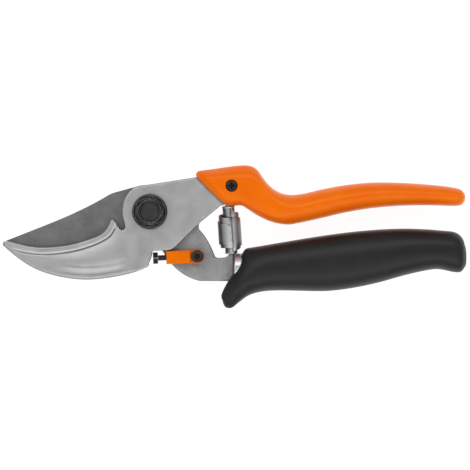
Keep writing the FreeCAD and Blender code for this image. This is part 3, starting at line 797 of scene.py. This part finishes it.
def strip_column(share, half_length):
    """Points across the strip at a share of its length, inner face first, about the spring's axis."""
    radius = mix(SPRING_INNER, SPRING_FIRST, smoothstep(COLLAR_SHARE, FIRST_SHARE, share))
    radius += (SPRING_OUTER - SPRING_FIRST) * max(0.0, share - FIRST_SHARE) / (1 - FIRST_SHARE)
    angle = STRIP_END - 2 * math.pi * SPRING_TURNS * (1 - share)
    outwards = ((radius - SPRING_INNER) / (SPRING_OUTER - SPRING_INNER)) ** 2
    above = half_length * (1 - UPPER_SETBACK * outwards)
    below = half_length * (1 - LOWER_SETBACK * outwards)
    column = []
    for reach in (radius, radius + SPRING_STRIP):
        for row in range(STRIP_ROWS):
            height = mix(-below, above, row / (STRIP_ROWS - 1))
            column.append(Vector((reach * math.cos(angle), reach * math.sin(angle), height)))
    return column


def wound_strip(middle, turn, half_length):
    """The spring's strip as an object, its inner turns standing out at both ends."""
    work = bmesh.new()
    count = int(SPRING_TURNS * STEPS_PER_TURN)
    border = list(range(STRIP_ROWS)) + list(range(2 * STRIP_ROWS - 1, STRIP_ROWS - 1, -1))
    sections = []
    for number in range(count + 1):
        points = strip_column(number / count, half_length)
        column = [work.verts.new(turn @ point + middle) for point in points]
        sections.append([column[here] for here in border])
    for near, far in zip(sections, sections[1:]):
        add_band(work, near, far)
    work.faces.new(sections[0])
    work.faces.new(sections[-1])
    bmesh.ops.recalc_face_normals(work, faces=work.faces)
    return object_from(work, "spring_strip")


def make_spring():
    """A flat strip wound on itself, with painted shade in the gap beside its outer end and on the sides of
    its turns.
    """
    axis = SPRING_HIGH - SPRING_LOW
    middle = (SPRING_LOW + SPRING_HIGH) / 2
    turn = axis.to_track_quat("Z", "Y")
    piece = wound_strip(middle, turn, axis.length / 2)
    edge = piece.modifiers.new("edge", "BEVEL")
    edge.width = 0.08 * MM
    edge.segments = 2
    edge.limit_method = "ANGLE"
    edge.angle_limit = math.radians(50)
    apply_modifiers(piece)
    shade_smooth(piece, 45)

    def spring_seam_shade(point):
        local = turn.inverted() @ (point - middle)
        past_end = (math.atan2(local.y, local.x) - STRIP_END) * local.xy.length
        # painted shade in the gap beside the strip's outer end
        seam_shade = bell(past_end, SEAM_WIDTH / 2, SEAM_WIDTH / 2) * (local.xy.length < SPRING_OUTER)
        return seam_shade, 0.0

    paint_shade_and_highlight(piece, spring_seam_shade)
    piece.data.materials.append(SPRING_STEEL)
    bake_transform(piece)
    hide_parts("volute_spring")


# ---- CAD parts that keep their shape ---------------------------------------------------------------------

KEPT = {
    "stop_pin": PLAIN_STEEL,
    "pivot_bushing": PLAIN_STEEL,
    "pivot_washer": PLAIN_STEEL,
    "upper_grip_nut": PLAIN_STEEL,
    "upper_spring_stud": PLAIN_STEEL,
    "lower_spring_stud": PLAIN_STEEL,
    "blade_rivets": PLAIN_STEEL,
    "lower_grip_core": NYLON,
    "lever_washer": PLAIN_STEEL,
}

SOFTENED = (
    ("cutting_blade", "arm", BLADE_STEEL, "blade_steel", 0.10, None),
    ("pivot_bolt", "frame", BOLT_BLACK, "black_hardware", 0.15, None),
    ("lock_lever", "lever", ORANGE_LEVER, "orange_lever", 0.3, None),
    ("lever_adjusting_screw", "lever", BLACK_HARDWARE, "black_hardware", 0.15, WORN_HIGHLIT_BLACK),
)


def dress_kept_parts():
    for node, material in KEPT.items():
        obj = nodes[node]
        obj.data.materials.clear()
        obj.data.materials.append(material)
    for node, body, material, slot, width, worn_highlight in SOFTENED:
        softened(node, body, material, width * MM, worn_highlight)
    softened_screw("upper_grip_screw", "frame", CROSS_DEPTH)
    softened_screw("lever_pivot_screw", "arm", SOCKET_DEPTH)


# ---- stage ------------------------------------------------------------------------------------------------

FLOOR_SIZE = 1.5           # metres from its middle to each side
FLOOR_DROP = 0.05 * MM     # under what rests on it


def make_floor():
    work = bmesh.new()
    corners = ((-1, -1), (1, -1), (1, 1), (-1, 1))
    work.faces.new([work.verts.new((x * FLOOR_SIZE, y * FLOOR_SIZE, -FLOOR_DROP)) for x, y in corners])
    floor = object_from(work, "floor")
    material, _, shader = new_material("pale_floor")
    shader.inputs["Base Color"].default_value = (0.28, 0.28, 0.28, 1.0)
    shader.inputs["Roughness"].default_value = 0.9
    shader.inputs["Specular IOR Level"].default_value = 0.1
    shader.inputs["Emission Color"].default_value = (1.0, 1.0, 1.0, 1.0)
    shader.inputs["Emission Strength"].default_value = 0.90
    floor.data.materials.append(material)


def add_softbox(name, place, target, width, height, power_watts):
    light = bpy.data.lights.new(name, "AREA")
    light.shape = "RECTANGLE"
    light.size = width
    light.size_y = height
    light.energy = power_watts
    obj = add_object(name, light)
    obj.location = place
    obj.rotation_euler = (Vector(target) - Vector(place)).to_track_quat("-Z", "Y").to_euler()


SKY = ((0.0, 0.34), (0.35, 0.44), (0.62, 0.60), (0.86, 0.52), (0.94, 0.16), (0.98, 0.02), (1.0, 0.01))


def make_sky():
    """A soft studio: dim at the horizon and straight overhead, bright between them."""
    world = bpy.data.worlds.new("studio")
    world.use_nodes = True
    tree = world.node_tree
    where = tree.nodes.new("ShaderNodeTexCoord")
    split = tree.nodes.new("ShaderNodeSeparateXYZ")
    tree.links.new(where.outputs["Generated"], split.inputs["Vector"])
    colour = ramp(tree, split.outputs["Z"], tuple((height, (value, value, value)) for height, value in SKY))
    tree.links.new(colour, tree.nodes["Background"].inputs["Color"])
    bpy.context.scene.world = world


def make_lights():
    make_sky()
    centre = (0.04, -0.01, 0.0)
    add_softbox("softbox_above", (-0.10, 0.60, 1.20), centre, 1.9, 0.5, 6.0)
    add_softbox("softbox_below", (0.20, -0.85, 1.00), centre, 1.8, 0.5, 4.4)
    add_softbox("strip_light", (0.05, -0.32, 1.30), centre, 1.6, 0.10, 1.7)


VIEW_WIDTH = 220.0 * MM
VIEW_CENTRE = (39.9 * MM, -10.95 * MM)
LENS = 300.0
SENSOR = 36.0


def make_camera():
    camera = bpy.data.cameras.new("camera")
    camera.lens = LENS
    camera.sensor_width = SENSOR
    camera.clip_start = 0.1
    camera.clip_end = 20.0
    obj = add_object("camera", camera)
    obj.location = (*VIEW_CENTRE, FRAME_TOP + VIEW_WIDTH * LENS / SENSOR)
    bpy.context.scene.camera = obj


def main():
    make_camera()
    make_lights()
    make_floor()
    dress_kept_parts()
    make_pivot_nut()
    make_frame_forging()
    make_arm_forging()
    make_grip("upper_grip_skin", UPPER_STATIONS, upper_section, "frame", ORANGE, "orange_plastic",
              "upper_grip", screw_wells())
    make_grip("lower_grip_skin", LOWER_STATIONS, lower_section, "arm", RUBBER, "black_rubber", "lower_grip")
    make_spring()
    bpy.context.scene.view_settings.view_transform = "Standard"


main()
